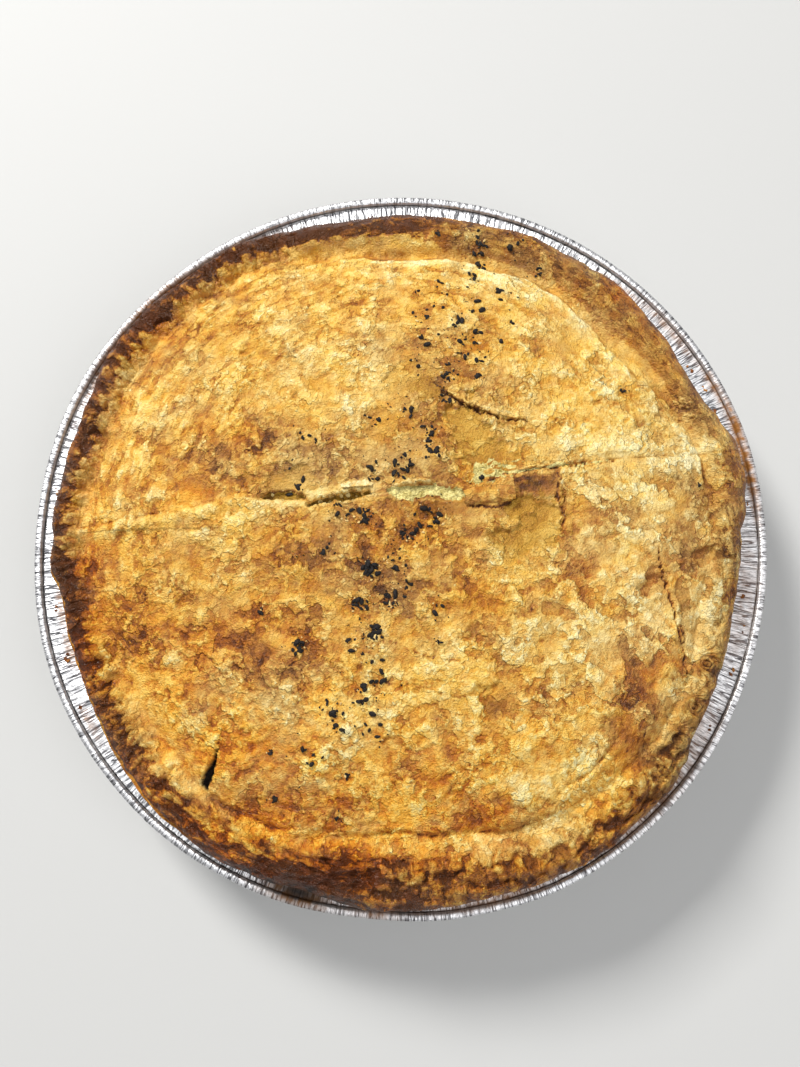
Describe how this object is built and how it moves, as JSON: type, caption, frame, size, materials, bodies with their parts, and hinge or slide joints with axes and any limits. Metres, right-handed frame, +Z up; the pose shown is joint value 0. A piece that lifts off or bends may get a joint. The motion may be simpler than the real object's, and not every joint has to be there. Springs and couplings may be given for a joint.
{
  "type": "beef brisket pie",
  "caption": "Round family savoury pie with a domed, flaky puff pastry lid, crimped browned border and a line of cracked pepper, baked in its shallow foil tin.",
  "frame": {"origin": "middle of the underside of the tin's flat base", "axes": "+Z up through the lid; +X to the right and +Y to the top as the lid is seen from above with the steam slit at lower left"},
  "size_m": [0.232, 0.232, 0.0544],
  "materials": {
    "pastry": "baked, flaky, pale gold to dark brown, faintly buttery sheen",
    "foil": "bright crimped foil with a few baked-on grease marks",
    "pepper": "matt black cracked husk with pale cores"
  },
  "bodies": {
    "root": {"pie": "pastry", "foil_tin": "foil"}
  },
  "joints": []
}
